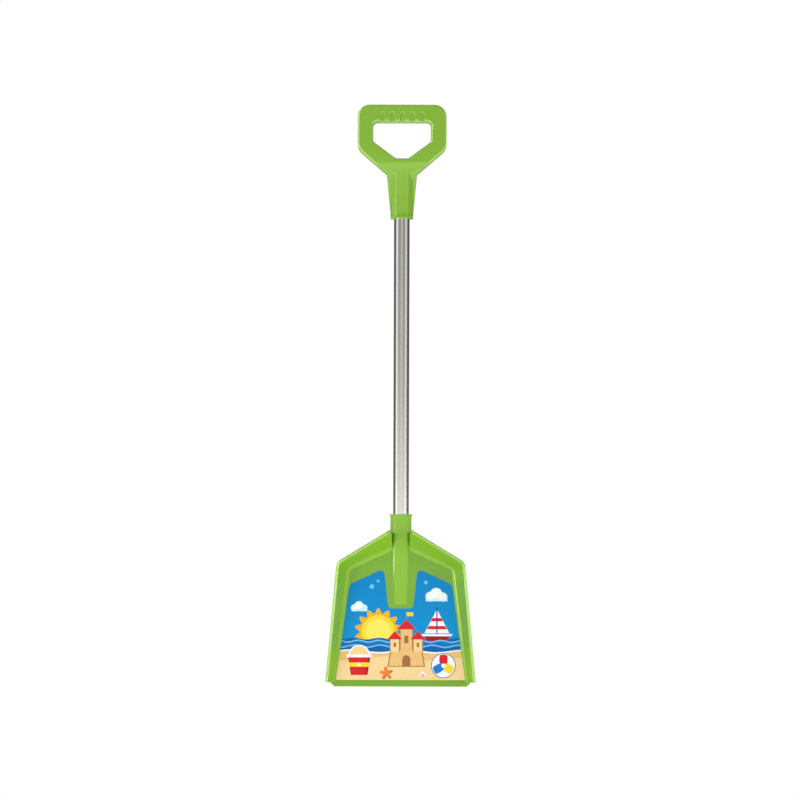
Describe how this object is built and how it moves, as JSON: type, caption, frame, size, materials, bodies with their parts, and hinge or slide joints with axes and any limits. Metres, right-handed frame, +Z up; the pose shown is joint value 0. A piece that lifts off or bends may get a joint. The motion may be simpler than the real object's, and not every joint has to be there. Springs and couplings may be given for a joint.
{
  "type": "sand shovel",
  "caption": "Child's sand shovel: moulded scoop blade with flared walls and a printed label, bright steel tube shaft and moulded D-handle with finger recesses.",
  "frame": {"origin": "centre of the base of the whole shovel's box, under the blade's front edge", "axes": "+Z up the shaft towards the handle, -Y out of the hollow of the scoop, X across the blade"},
  "size_m": [0.1814, 0.0506, 0.7068],
  "materials": {
    "green_plastic": "glossy moulded polypropylene",
    "tube_steel": "bright drawn steel",
    "label_film": "printed film",
    "screw_steel": "zinc plated"
  },
  "bodies": {
    "root": {"blade": "green_plastic", "shaft_tube": "tube_steel", "handle": "green_plastic", "blade_label": "label_film", "socket_screws": "screw_steel"}
  },
  "joints": []
}
